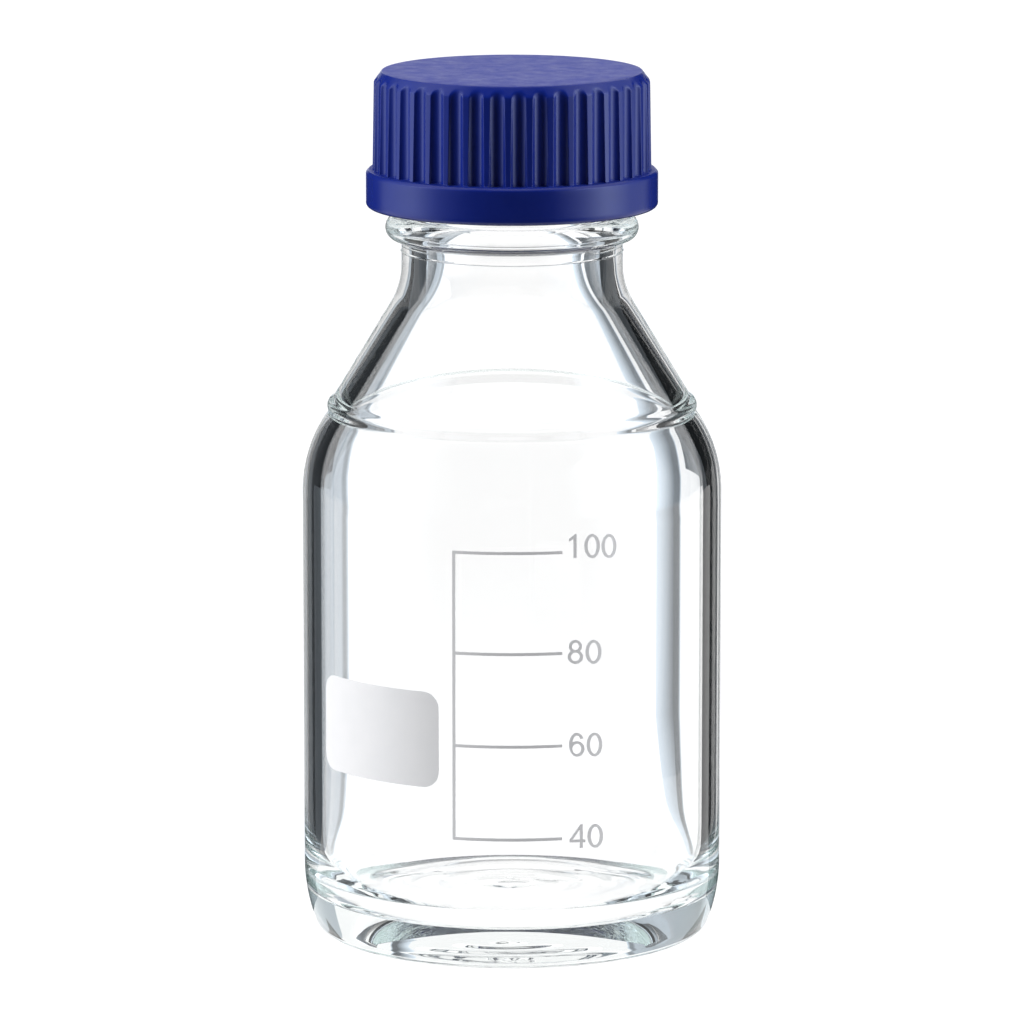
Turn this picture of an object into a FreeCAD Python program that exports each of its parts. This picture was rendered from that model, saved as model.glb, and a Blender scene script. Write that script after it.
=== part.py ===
import FreeCAD, Part
import math
import os
from collections import namedtuple
from enum import IntEnum

import Sketcher
from FreeCAD import Placement, Rotation, Vector

# A laboratory reagent bottle of 100 mL: a blown glass bottle, a pouring ring on its lip, a fluted screw
# cap with a seal disc in it, and two fired enamel prints. The origin is the middle of the base, +Z is
# the axis of the bottle, and the prints face -Y. Lengths are in millimetres, angles in degrees.

# Driving dimensions, in the order in which the bottle is made
SIZES = [
    # Glass body, outside
    ("body_radius", 28.0),
    ("heel_level", 9.5),
    ("heel_sweep", 24.0),
    ("heel_corner", 2.0),
    ("contact_width", 3.6),
    ("push_up", 1.8),
    ("shoulder_level", 59.6),
    ("shoulder_radius", 18.6),
    ("shoulder_turn", 36.0),
    ("ridge_step", 0.65),
    ("ridge_height", 1.9),
    ("ridge_bulge", 0.54),
    ("cone_angle", 31.0),
    ("neck_radius", 14.75),
    ("neck_fillet", 10.0),
    # Glass finish: transfer bead, plain thread land, lip and rim
    ("bead_rise", 4.95),
    ("bead_overhang", 2.1),
    ("bead_round", 1.65),
    ("finish_height", 21.1),
    ("land_step", 0.25),
    ("lip_step", 1.3),
    ("lip_edge", 0.4),
    ("rim_round", 0.5),
    ("snap_drop", 1.6),
    ("snap_bulge", 0.35),
    ("snap_half_height", 0.7),
    ("lip_below_snap", 0.9),
    # Glass body, inside
    ("wall", 2.4),
    ("floor_level", 4.8),
    ("floor_crown", 0.8),
    ("floor_corner", 7.0),
    ("lip_wall", 2.0),
    ("throat_fillet", 12.0),
    # Pouring ring
    ("ring_clearance", 0.05),
    ("ring_wall", 0.8),
    ("ring_foot_gap", 0.3),
    ("ring_web", 1.3),
    ("ring_mouth_margin", 0.3),
    ("ring_mouth_bevel", 0.6),
    ("drip_overhang", 0.5),
    ("drip_edge", 0.3),
    ("drip_drop", 1.2),
    # Seal disc
    ("seal_overhang", 1.35),
    ("seal_thickness", 1.6),
    ("seal_chamfer", 0.2),
    # Screw cap
    ("cap_bore_gap", 0.45),
    ("cap_roof", 1.8),
    ("cap_gap", 1.1),
    ("cap_wall", 2.15),
    ("cap_draft", 0.2),
    ("cap_bevel_width", 1.05),
    ("cap_bevel_height", 1.4),
    ("flange_width", 0.9),
    ("flange_height", 5.0),
    ("flange_round", 0.6),
    ("flange_chamfer", 0.4),
    ("lead_in", 0.6),
    ("retainer_reach", 0.7),
    ("retainer_lead", 0.65),
    ("retainer_return", 0.35),
    ("retainer_gap", 0.2),
    ("flute_count", 41),
    ("flute_start_angle", 2.8),
    ("flute_depth", 0.7),
    ("flute_radius", 0.95),
    # Enamel prints. The scale starts at an angle from the front, counted towards +X
    ("print_thickness", 0.1),
    ("scale_start", -16.1),
    ("scale_span", 29.6),
    ("scale_line", 0.4),
    ("mark_100_drop", 3.25),
    ("mark_80_drop", 13.4),
    ("mark_60_drop", 12.35),
    ("mark_40_drop", 12.45),
    ("label_gap_angle", 3.9),
    ("label_span", 41.3),
    ("label_rise", 6.55),
    ("label_height", 12.8),
    ("label_corner", 2.2),
]

# Radii and heights that follow from the driving dimensions
LEVELS = [
    ("heel_centre", "sizes.body_radius - sizes.heel_sweep"),
    ("heel_reach", "sizes.heel_sweep - sizes.heel_corner"),
    ("contact_reach", "sqrt(levels.heel_reach ^ 2 - (sizes.heel_level - sizes.heel_corner) ^ 2)"),
    ("contact_outer", "levels.heel_centre + levels.contact_reach"),
    ("contact_inner", "levels.contact_outer - sizes.contact_width"),
    ("push_up_radius", "(levels.contact_inner ^ 2 + sizes.push_up ^ 2) / (2 * sizes.push_up)"),
    ("heel_join_x", "levels.heel_centre + sizes.heel_sweep * levels.contact_reach / levels.heel_reach"),
    (
        "heel_join_z",
        "sizes.heel_level - sizes.heel_sweep * (sizes.heel_level - sizes.heel_corner) / levels.heel_reach",
    ),
    ("shoulder_centre", "sizes.body_radius - sizes.shoulder_radius"),
    ("ridge_foot_x", "levels.shoulder_centre + sizes.shoulder_radius * cos(sizes.shoulder_turn)"),
    ("ridge_foot_z", "sizes.shoulder_level + sizes.shoulder_radius * sin(sizes.shoulder_turn)"),
    ("ridge_top_x", "levels.ridge_foot_x - sizes.ridge_step"),
    ("ridge_top_z", "levels.ridge_foot_z + sizes.ridge_height"),
    ("ridge_chord", "sqrt(sizes.ridge_step ^ 2 + sizes.ridge_height ^ 2)"),
    ("ridge_radius", "(levels.ridge_chord ^ 2 / 4 + sizes.ridge_bulge ^ 2) / (2 * sizes.ridge_bulge)"),
    ("cone_top_x", "sizes.neck_radius + sizes.neck_fillet * (1 - cos(sizes.cone_angle))"),
    ("cone_top_z", "levels.ridge_top_z + (levels.ridge_top_x - levels.cone_top_x) / tan(sizes.cone_angle)"),
    ("neck", "levels.cone_top_z + sizes.neck_fillet * sin(sizes.cone_angle)"),
    ("bead", "levels.neck + sizes.bead_rise"),
    ("bead_radius", "sizes.neck_radius + sizes.bead_overhang"),
    ("bead_centre", "levels.bead_radius - sizes.bead_round"),
    ("land_radius", "sizes.neck_radius - sizes.land_step"),
    ("lip_radius", "levels.land_radius - sizes.lip_step"),
    ("bore_radius", "levels.lip_radius - sizes.lip_wall"),
    ("bead_foot", "levels.bead - sqrt(sizes.bead_round ^ 2 - (sizes.neck_radius - levels.bead_centre) ^ 2)"),
    ("bead_head", "levels.bead + sqrt(sizes.bead_round ^ 2 - (levels.land_radius - levels.bead_centre) ^ 2)"),
    ("rim", "levels.neck + sizes.finish_height"),
    ("snap", "levels.rim - sizes.snap_drop"),
    ("lip", "levels.snap - sizes.snap_half_height - sizes.lip_below_snap"),
    ("snap_radius", "(sizes.snap_half_height ^ 2 + sizes.snap_bulge ^ 2) / (2 * sizes.snap_bulge)"),
    # Cavity
    ("inner_radius", "sizes.body_radius - sizes.wall"),
    ("floor_radius", "levels.inner_radius - sizes.floor_corner"),
    ("crown_radius", "(levels.floor_radius ^ 2 + sizes.floor_crown ^ 2) / (2 * sizes.floor_crown)"),
    ("inner_shoulder", "sizes.shoulder_radius - sizes.wall"),
    ("inner_cone_x", "levels.shoulder_centre + levels.inner_shoulder * cos(sizes.cone_angle)"),
    ("inner_cone_z", "sizes.shoulder_level + levels.inner_shoulder * sin(sizes.cone_angle)"),
    ("throat_x", "levels.bore_radius + sizes.throat_fillet * (1 - cos(sizes.cone_angle))"),
    ("throat_z", "levels.inner_cone_z + (levels.inner_cone_x - levels.throat_x) / tan(sizes.cone_angle)"),
    ("bore", "levels.throat_z + sizes.throat_fillet * sin(sizes.cone_angle)"),
    # Pouring ring
    ("ring_bore", "levels.lip_radius + sizes.ring_clearance"),
    ("ring_outer", "levels.ring_bore + sizes.ring_wall"),
    ("ring_foot", "levels.lip + sizes.ring_foot_gap"),
    ("ring_mouth", "levels.bore_radius + sizes.ring_mouth_margin"),
    ("seat", "levels.rim + sizes.ring_web"),
    ("drip_radius", "levels.ring_outer + sizes.drip_overhang"),
    ("groove_radius", "levels.snap_radius + sizes.ring_clearance"),
    ("groove_offset", "levels.groove_radius - sizes.snap_bulge"),
    ("groove_half_height", "sqrt(levels.groove_radius ^ 2 - levels.groove_offset ^ 2)"),
    # Seal disc and screw cap
    ("seal_radius", "levels.drip_radius + sizes.seal_overhang"),
    ("cap_bore", "levels.seal_radius + sizes.cap_bore_gap"),
    ("cap_ceiling", "levels.seat + sizes.seal_thickness"),
    ("cap_top", "levels.cap_ceiling + sizes.cap_roof"),
    ("cap_bottom", "levels.bead + sizes.bead_round + sizes.cap_gap"),
    ("rib_radius", "levels.cap_bore + sizes.cap_wall"),
    ("flange_radius", "levels.rib_radius + sizes.flange_width"),
    ("flange_top", "levels.cap_bottom + sizes.flange_height"),
    ("bevel_foot", "levels.cap_top - sizes.cap_bevel_height"),
    ("crown_edge", "levels.rib_radius - sizes.cap_draft"),
    ("flute_centre", "levels.rib_radius - sizes.flute_depth + sizes.flute_radius"),
    ("flute_length", "levels.cap_top - levels.flange_top"),
    ("retainer_top", "levels.seat - sizes.retainer_gap"),
    # Enamel prints
    ("print_radius", "sizes.body_radius + sizes.print_thickness"),
    ("scale_line_angle", "sizes.scale_line / sizes.body_radius * 180 / pi"),
    ("mark_100", "sizes.shoulder_level - sizes.mark_100_drop"),
    ("mark_80", "levels.mark_100 - sizes.mark_80_drop"),
    ("mark_60", "levels.mark_80 - sizes.mark_60_drop"),
    ("mark_40", "levels.mark_60 - sizes.mark_40_drop"),
    ("label_bottom", "levels.mark_40 + sizes.label_rise"),
    ("label_start", "sizes.scale_start - sizes.label_gap_angle - sizes.label_span"),
]

# One corner of an outline, as expressions. The edge that leaves it is straight, or an arc of the given
# radius that turns left or right on its way to the next corner.
Corner = namedtuple("Corner", "x y radius turn", defaults=("", None))
Turn = IntEnum("Turn", "LEFT RIGHT")
LEFT, RIGHT = Turn

# The points of a sketch edge, and the axes of a sketch, by their numbers
Point = IntEnum("Point", "START END CENTRE")
START, END, CENTRE = Point
Axis = IntEnum("Axis", "VERTICAL HORIZONTAL", start=-2)

# Cutting profiles run this far past the face they open
OVERRUN = "5"

doc = FreeCAD.newDocument("reagent_bottle")


def make_sheet():
    """Spreadsheet of driving dimensions, one named cell each."""
    sheet = doc.addObject("Spreadsheet::Sheet", "sizes")
    for row, (alias, value) in enumerate(SIZES, start=1):
        sheet.set(f"A{row}", alias)
        sheet.set(f"B{row}", str(value))
        sheet.setAlias(f"B{row}", alias)
    doc.recompute()


def make_levels():
    """Set of derived radii and heights, each bound to the sheet."""
    levels = doc.addObject("App::VarSet", "levels")
    for name, expression in LEVELS:
        levels.addProperty("App::PropertyFloat", name)
        levels.setExpression(name, expression)
        doc.recompute()
    return levels


make_sheet()
levels = make_levels()


def value(expression):
    """Present number of an expression of the sheet and the levels."""
    return float(levels.evalExpression(expression))


def make_body(label):
    return doc.addObject("PartDesign::Body", label)


def origin_feature(body, role):
    return next(feature for feature in body.Origin.OriginFeatures if feature.Role == role)


def make_sketch(body, name, plane):
    sketch = body.newObject("Sketcher::SketchObject", name)
    sketch.AttachmentSupport = (origin_feature(body, plane), [""])
    sketch.MapMode = "FlatFace"
    return sketch


def bind(sketch, constraint, expression):
    """Adds a dimension to a sketch and ties it to an expression."""
    index = sketch.addConstraint(constraint)
    sketch.setExpression(f"Constraints[{index}]", expression)


def arc_between(start, end, radius, turn):
    """Arc shorter than a half circle. A right turn is stored from its end to its start."""
    chord = end - start
    rise = math.sqrt(max(radius**2 - (chord.Length / 2) ** 2, 0.0))
    left = Vector(-chord.y, chord.x, 0).normalize()
    side = left if turn == LEFT else -left
    centre = start + chord * 0.5 + side * rise
    first, last = (start, end) if turn == LEFT else (end, start)
    first_angle = math.atan2(first.y - centre.y, first.x - centre.x)
    last_angle = math.atan2(last.y - centre.y, last.x - centre.x)
    circle = Part.Circle(centre, Vector(0, 0, 1), radius)
    return Part.ArcOfCircle(circle, first_angle, last_angle)


def add_outline(sketch, corners):
    """Draws a closed outline whose corners and radii are all tied to the sheet."""
    points = [Vector(value(corner.x), value(corner.y), 0) for corner in corners]
    edges = []
    for index, corner in enumerate(corners):
        start = points[index]
        end = points[(index + 1) % len(corners)]
        if corner.radius:
            shape = arc_between(start, end, value(corner.radius), corner.turn)
        else:
            shape = Part.LineSegment(start, end)
        edge = sketch.addGeometry(shape, False)
        reverse = corner.turn == RIGHT
        edges.append((edge, END if reverse else START, START if reverse else END))
    for index, corner in enumerate(corners):
        edge, start, end = edges[index]
        following, next_start, _ = edges[(index + 1) % len(corners)]
        sketch.addConstraint(Sketcher.Constraint("Coincident", edge, end, following, next_start))
        if corner.x == "0":
            sketch.addConstraint(Sketcher.Constraint("PointOnObject", edge, start, Axis.VERTICAL))
        else:
            bind(sketch, Sketcher.Constraint("DistanceX", edge, start, value(corner.x)), corner.x)
        if corner.y == "0":
            sketch.addConstraint(Sketcher.Constraint("PointOnObject", edge, start, Axis.HORIZONTAL))
        else:
            bind(sketch, Sketcher.Constraint("DistanceY", edge, start, value(corner.y)), corner.y)
        if corner.radius:
            bind(sketch, Sketcher.Constraint("Radius", edge, value(corner.radius)), corner.radius)


def rectangle(low_x, high_x, low_y, high_y):
    return [Corner(low_x, low_y), Corner(high_x, low_y), Corner(high_x, high_y), Corner(low_x, high_y)]


def revolve(body, kind, name, outlines, angle="360"):
    """Turns outlines in the XZ plane about the bottle's axis, to add material or to cut it."""
    sketch = make_sketch(body, f"{name}_profile", "XZ_Plane")
    for corners in outlines:
        add_outline(sketch, corners)
    doc.recompute()
    feature = body.newObject(kind, name)
    feature.Profile = sketch
    feature.ReferenceAxis = (sketch, ["V_Axis"])
    feature.setExpression("Angle", angle)
    doc.recompute()
    return feature


def require_cut(feature, before):
    """Stops if a cutting feature left the solid as it was."""
    if feature.Shape.Volume >= before.Shape.Volume:
        raise RuntimeError(f"{feature.Name} cuts nothing")


def turn_to(body, angle_from_front):
    """Turns a body about the bottle's axis, so that its +X side comes to an angle from the front (-Y)."""
    body.Placement = Placement(Vector(0, 0, 0), Rotation(Vector(0, 0, 1), value(angle_from_front) - 90))


def circle_edges(shape):
    return [
        f"Edge{number}"
        for number, edge in enumerate(shape.Edges, start=1)
        if isinstance(edge.Curve, Part.Circle) and edge.isClosed()
    ]


def radial_edges(shape):
    """Straight edges that point away from the bottle's axis."""
    return [
        f"Edge{number}"
        for number, edge in enumerate(shape.Edges, start=1)
        if isinstance(edge.Curve, Part.Line) and edge.BoundBox.ZLength < edge.Length / 2
    ]


def make_glass_bottle():
    """Blown bottle: pushed-up base, swept heel, ringed shoulder, cone, neck bead and lip."""
    body = make_body("glass_bottle")
    outside = [
        Corner("0", "sizes.push_up", "levels.push_up_radius", RIGHT),
        Corner("levels.contact_inner", "0"),
        Corner("levels.contact_outer", "0", "sizes.heel_corner", LEFT),
        Corner("levels.heel_join_x", "levels.heel_join_z", "sizes.heel_sweep", LEFT),
        Corner("sizes.body_radius", "sizes.heel_level"),
        Corner("sizes.body_radius", "sizes.shoulder_level", "sizes.shoulder_radius", LEFT),
        Corner("levels.ridge_foot_x", "levels.ridge_foot_z", "levels.ridge_radius", LEFT),
        Corner("levels.ridge_top_x", "levels.ridge_top_z"),
        Corner("levels.cone_top_x", "levels.cone_top_z", "sizes.neck_fillet", RIGHT),
        Corner("sizes.neck_radius", "levels.neck"),
        Corner("sizes.neck_radius", "levels.bead_foot", "sizes.bead_round", LEFT),
        Corner("levels.bead_radius", "levels.bead", "sizes.bead_round", LEFT),
        Corner("levels.land_radius", "levels.bead_head"),
        Corner("levels.land_radius", "levels.lip - sizes.lip_edge"),
        Corner("levels.land_radius - sizes.lip_edge", "levels.lip"),
        Corner("levels.lip_radius", "levels.lip"),
        Corner("levels.lip_radius", "levels.snap - sizes.snap_half_height", "levels.snap_radius", LEFT),
        Corner("levels.lip_radius", "levels.snap + sizes.snap_half_height"),
        Corner("levels.lip_radius", "levels.rim - sizes.rim_round", "sizes.rim_round", LEFT),
        Corner("levels.lip_radius - sizes.rim_round", "levels.rim"),
        Corner("0", "levels.rim"),
    ]
    blank = revolve(body, "PartDesign::Revolution", "blown_form", [outside])
    cavity = [
        Corner("0", "sizes.floor_level + sizes.floor_crown", "levels.crown_radius", RIGHT),
        Corner("levels.floor_radius", "sizes.floor_level", "sizes.floor_corner", LEFT),
        Corner("levels.inner_radius", "sizes.floor_level + sizes.floor_corner"),
        Corner("levels.inner_radius", "sizes.shoulder_level", "levels.inner_shoulder", LEFT),
        Corner("levels.inner_cone_x", "levels.inner_cone_z"),
        Corner("levels.throat_x", "levels.throat_z", "sizes.throat_fillet", RIGHT),
        Corner("levels.bore_radius", "levels.bore"),
        Corner("levels.bore_radius", "levels.rim - sizes.rim_round", "sizes.rim_round", RIGHT),
        Corner("levels.bore_radius + sizes.rim_round", "levels.rim"),
        Corner("levels.bore_radius + sizes.rim_round", f"levels.rim + {OVERRUN}"),
        Corner("0", f"levels.rim + {OVERRUN}"),
    ]
    hollow = revolve(body, "PartDesign::Groove", "cavity", [cavity])
    require_cut(hollow, blank)
    return body


def make_pouring_ring():
    """Ring that snaps over the lip, covers the rim and ends in a sharp drip edge."""
    body = make_body("pouring_ring")
    section = [
        Corner("levels.ring_bore", "levels.ring_foot"),
        Corner("levels.ring_outer", "levels.ring_foot"),
        Corner("levels.ring_outer", "levels.seat - sizes.drip_drop"),
        Corner("levels.drip_radius", "levels.seat - sizes.drip_edge"),
        Corner("levels.drip_radius", "levels.seat"),
        Corner("levels.ring_mouth + sizes.ring_mouth_bevel", "levels.seat"),
        Corner("levels.ring_mouth", "levels.seat - sizes.ring_mouth_bevel"),
        Corner("levels.ring_mouth", "levels.rim"),
        Corner("levels.ring_bore", "levels.rim"),
        Corner("levels.ring_bore", "levels.snap + levels.groove_half_height", "levels.groove_radius", RIGHT),
        Corner("levels.ring_bore", "levels.snap - levels.groove_half_height"),
    ]
    revolve(body, "PartDesign::Revolution", "ring_section", [section])
    return body


def make_seal_disc():
    """Flat soft disc with broken edges, between the pouring ring and the cap's ceiling."""
    body = make_body("seal_disc")
    sketch = make_sketch(body, "seal_outline", "XY_Plane")
    sketch.setExpression("AttachmentOffset.Base.z", "levels.seat")
    circle = Part.Circle(Vector(0, 0, 0), Vector(0, 0, 1), value("levels.seal_radius"))
    edge = sketch.addGeometry(circle, False)
    sketch.addConstraint(Sketcher.Constraint("Coincident", edge, CENTRE, Axis.HORIZONTAL, START))
    bind(sketch, Sketcher.Constraint("Radius", edge, value("levels.seal_radius")), "levels.seal_radius")
    doc.recompute()
    disc = body.newObject("PartDesign::Pad", "disc")
    disc.Profile = sketch
    disc.setExpression("Length", "sizes.seal_thickness")
    doc.recompute()
    edges = body.newObject("PartDesign::Chamfer", "broken_edges")
    edges.Base = (disc, circle_edges(disc.Shape))
    edges.setExpression("Size", "sizes.seal_chamfer")
    doc.recompute()
    return body


def make_screw_cap():
    """Moulded cap: plain flange, drafted ribs between flutes, bevelled crown and a seal retainer."""
    body = make_body("screw_cap")
    outside = [
        Corner("0", "levels.cap_bottom"),
        Corner("levels.flange_radius - sizes.flange_round", "levels.cap_bottom", "sizes.flange_round", LEFT),
        Corner("levels.flange_radius", "levels.cap_bottom + sizes.flange_round"),
        Corner("levels.flange_radius", "levels.flange_top - sizes.flange_chamfer"),
        Corner("levels.flange_radius - sizes.flange_chamfer", "levels.flange_top"),
        Corner("levels.rib_radius", "levels.flange_top"),
        Corner("levels.crown_edge", "levels.bevel_foot"),
        Corner("levels.crown_edge - sizes.cap_bevel_width", "levels.cap_top"),
        Corner("0", "levels.cap_top"),
    ]
    blank = revolve(body, "PartDesign::Revolution", "cap_blank", [outside])
    inside = [
        Corner("0", f"levels.cap_bottom - {OVERRUN}"),
        Corner("levels.cap_bore + sizes.lead_in", f"levels.cap_bottom - {OVERRUN}"),
        Corner("levels.cap_bore + sizes.lead_in", "levels.cap_bottom"),
        Corner("levels.cap_bore", "levels.cap_bottom + sizes.lead_in"),
        Corner("levels.cap_bore", "levels.retainer_top - sizes.retainer_return - sizes.retainer_lead"),
        Corner("levels.cap_bore - sizes.retainer_reach", "levels.retainer_top - sizes.retainer_return"),
        Corner("levels.cap_bore", "levels.retainer_top"),
        Corner("levels.cap_bore", "levels.cap_ceiling"),
        Corner("0", "levels.cap_ceiling"),
    ]
    hollow = revolve(body, "PartDesign::Groove", "cap_inside", [inside])
    require_cut(hollow, blank)
    sketch = make_sketch(body, "flute_outline", "XY_Plane")
    sketch.setExpression("AttachmentOffset.Base.z", "levels.flange_top")
    centre = Vector(value("levels.flute_centre"), 0, 0)
    circle = Part.Circle(centre, Vector(0, 0, 1), value("sizes.flute_radius"))
    edge = sketch.addGeometry(circle, False)
    sketch.addConstraint(Sketcher.Constraint("PointOnObject", edge, CENTRE, Axis.HORIZONTAL))
    bind(sketch, Sketcher.Constraint("DistanceX", edge, CENTRE, centre.x), "levels.flute_centre")
    bind(sketch, Sketcher.Constraint("Radius", edge, value("sizes.flute_radius")), "sizes.flute_radius")
    doc.recompute()
    flute = body.newObject("PartDesign::Pocket", "flute")
    flute.Profile = sketch
    flute.Reversed = True
    flute.setExpression("Length", "levels.flute_length")
    doc.recompute()
    require_cut(flute, hollow)
    flutes = body.newObject("PartDesign::PolarPattern", "flutes")
    flutes.Originals = [flute]
    flutes.Axis = (origin_feature(body, "Z_Axis"), [""])
    flutes.Angle = 360
    flutes.setExpression("Occurrences", "sizes.flute_count")
    body.Tip = flutes
    turn_to(body, "sizes.flute_start_angle")
    doc.recompute()
    require_cut(flutes, flute)
    return body


def make_label_panel():
    """Enamel writing panel with rounded corners, on the wall to the left of the scale."""
    body = make_body("label_panel")
    section = rectangle(
        "sizes.body_radius",
        "levels.print_radius",
        "levels.label_bottom",
        "levels.label_bottom + sizes.label_height",
    )
    panel = revolve(body, "PartDesign::Revolution", "panel", [section], "sizes.label_span")
    rounded = body.newObject("PartDesign::Fillet", "panel_corners")
    rounded.Base = (panel, radial_edges(panel.Shape))
    rounded.setExpression("Radius", "sizes.label_corner")
    turn_to(body, "levels.label_start")
    doc.recompute()
    return body


def make_graduation_scale():
    """Enamel scale: an upright line and four level lines that start from it."""
    body = make_body("graduation_scale")
    half = "sizes.scale_line / 2"
    marks = ["levels.mark_40", "levels.mark_60", "levels.mark_80", "levels.mark_100"]
    lowest = f"{marks[0]} - {half}"
    highest = f"{marks[-1]} + {half}"
    upright = rectangle("sizes.body_radius", "levels.print_radius", lowest, highest)
    revolve(body, "PartDesign::Revolution", "upright", [upright], "levels.scale_line_angle")
    lines = [
        rectangle("sizes.body_radius", "levels.print_radius", f"{mark} - {half}", f"{mark} + {half}")
        for mark in marks
    ]
    revolve(body, "PartDesign::Revolution", "level_lines", lines, "sizes.scale_span")
    turn_to(body, "sizes.scale_start")
    doc.recompute()
    return body


sub_parts = [
    make_glass_bottle(),
    make_pouring_ring(),
    make_seal_disc(),
    make_screw_cap(),
    make_label_panel(),
    make_graduation_scale(),
]
doc.recompute()

for item in doc.Objects:
    if "Invalid" in item.State or "Error" in item.State:
        raise RuntimeError(f"{item.Label} did not build: {item.State}")
for sub_part in sub_parts:
    if sub_part.Shape.isNull() or not sub_part.Shape.isValid():
        raise RuntimeError(f"{sub_part.Label} has no valid shape")
    if len(sub_part.Shape.Solids) != 1:
        raise RuntimeError(f"{sub_part.Label} is not one solid")

os.makedirs("parts", exist_ok=True)
for sub_part in sub_parts:
    sub_part.Shape.exportStep(f"parts/{sub_part.Label}.step")
    box = sub_part.Shape.BoundBox
    print(
        f"{sub_part.Label}: {sub_part.Shape.Volume:.1f} mm3, x {box.XMin:.2f} to {box.XMax:.2f}, "
        f"y {box.YMin:.2f} to {box.YMax:.2f}, z {box.ZMin:.2f} to {box.ZMax:.2f}"
    )
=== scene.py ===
import math
from collections import namedtuple

import bmesh
import bpy
import numpy as np
from mathutils import Euler, Matrix, Vector

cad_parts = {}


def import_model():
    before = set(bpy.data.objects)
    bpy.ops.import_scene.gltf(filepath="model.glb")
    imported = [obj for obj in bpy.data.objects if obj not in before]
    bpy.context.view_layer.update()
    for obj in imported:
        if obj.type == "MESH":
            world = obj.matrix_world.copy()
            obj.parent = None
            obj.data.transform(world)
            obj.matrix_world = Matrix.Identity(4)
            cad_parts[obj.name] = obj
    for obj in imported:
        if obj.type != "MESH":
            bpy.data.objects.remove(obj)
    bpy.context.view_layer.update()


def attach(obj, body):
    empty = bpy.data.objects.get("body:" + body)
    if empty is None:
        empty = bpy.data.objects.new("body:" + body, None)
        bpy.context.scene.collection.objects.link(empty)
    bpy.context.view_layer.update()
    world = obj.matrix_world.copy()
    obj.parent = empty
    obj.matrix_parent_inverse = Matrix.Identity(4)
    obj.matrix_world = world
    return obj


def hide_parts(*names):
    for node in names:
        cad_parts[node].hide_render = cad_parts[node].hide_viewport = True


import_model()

# Lengths in the outlines are in millimetres, heights count from the base, and angles are in degrees
# from the front of the bottle towards its right side.
MM = 0.001

# Glass, outside
BODY_RADIUS = 28.0
HEEL_LEVEL = 9.5
HEEL_SWEEP = 24.0
HEEL_CORNER = 2.0
CONTACT_WIDTH = 3.6
PUSH_UP = 1.8
SHOULDER_LEVEL = 59.6
SHOULDER_RADIUS = 18.6
SHOULDER_TURN = 36.0
RIDGE_STEP = 0.65
RIDGE_HEIGHT = 1.9
RIDGE_BULGE = 0.54
CONE_ANGLE = 31.0
NECK_RADIUS = 14.75
NECK_FILLET = 10.0
BEAD_RISE = 4.95
BEAD_OVERHANG = 2.1
BEAD_ROUND = 1.65
FINISH_HEIGHT = 21.1
LAND_RADIUS = 14.5
LIP_RADIUS = 13.2
LIP_LEVEL = 108.164
LIP_EDGE = 0.4
RIM_ROUND = 0.5
SNAP_LEVEL = 109.764
SNAP_BULGE = 0.35
SNAP_HALF_HEIGHT = 0.7

# Glass, inside
WALL = 2.4
FLOOR_LEVEL = 4.8
FLOOR_CROWN = 0.8
FLOOR_CORNER = 7.0
BORE_RADIUS = 11.2
THROAT_FILLET = 12.0

# How far a point may lie off a face and still count as on it
LAND_SLACK = 0.05
FACE_SLACK = 0.1

# Rounding of the glass and longest step between rows of its mesh, here and where finer forms need it
GLASS_SOFT = 0.3
GLASS_STEP = 2.0
THREAD_STEP = 0.25
SEAM_STEP = 0.05
RIPPLE_STEP = 0.8

# Faint lines and waves of the glass. Lobes run round the axis and twist with the distance from it.
Ripples = namedtuple("Ripples", "depth spacing sway sway_start lobe_depth lobes twist")
UNDERSIDE_RIPPLES = Ripples(
    depth=0.05, spacing=4.1, sway=0.5, sway_start=1.0, lobe_depth=0.04, lobes=2, twist=5.0
)
FLOOR_RIPPLES = Ripples(
    depth=0.06, spacing=5.3, sway=0.6, sway_start=0.0, lobe_depth=0.06, lobes=3, twist=4.0
)
UNDERSIDE_MARGIN = 0.6
FLOOR_OVERLAP = 1.0
RIPPLE_FADE = 4.0
SEAM_LEVEL = 92.15
SEAM_RISE = 0.13
SEAM_WIDTH = 0.08
SEAM_REACH = 0.25

# Extra rounding of the inside, from the floor up to where it fades out
INNER_EASE = 1.6
INNER_EASE_TOP = 35.0
INNER_EASE_RUN = 10.0

# Screw threads: root and crest are widths, and turns fade out at both ends
Thread = namedtuple("Thread", "depth start turns root crest")
NECK_THREAD = Thread(depth=1.5, start=99.3, turns=1.75, root=2.6, crest=1.0)
CAP_THREAD = Thread(depth=1.4, start=101.3, turns=1.5, root=2.2, crest=0.9)
THREAD_PITCH = 4.0
THREAD_RUN_OUT = 0.25

# Pouring ring, seal and cap
RING_BORE = 13.25
RING_OUTER = 14.05
RING_FOOT = 108.464
RING_MOUTH = 11.5
RING_MOUTH_BEVEL = 0.6
RING_LEDGE = 1.3
RING_PLAY = 0.05
DRIP_RADIUS = 14.55
DRIP_EDGE = 0.3
DRIP_DROP = 1.2
SEAT_LEVEL = 112.664
SEAL_RADIUS = 15.9
SEAL_CHAMFER = 0.2
CAP_BORE = 16.35
CAP_BOTTOM = 97.964
CAP_CEILING = 114.264
CAP_TOP = 116.064
RIB_RADIUS = 18.5
CAP_DRAFT = 0.2
CAP_BEVEL_WIDTH = 1.05
CAP_BEVEL_HEIGHT = 1.4
FLANGE_RADIUS = 19.4
FLANGE_TOP = 102.964
FLANGE_ROUND = 0.6
FLANGE_CHAMFER = 0.4
LEAD_IN = 0.6
RETAINER_TOP = 112.464
RETAINER_REACH = 0.7
RETAINER_LEAD = 0.65
RETAINER_RETURN = 0.35
FLUTE_COUNT = 41
FLUTE_START = 2.8
FLUTE_DEPTH = 0.7
RIB_CREST = 0.69
RIB_BLEND = 0.06
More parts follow.
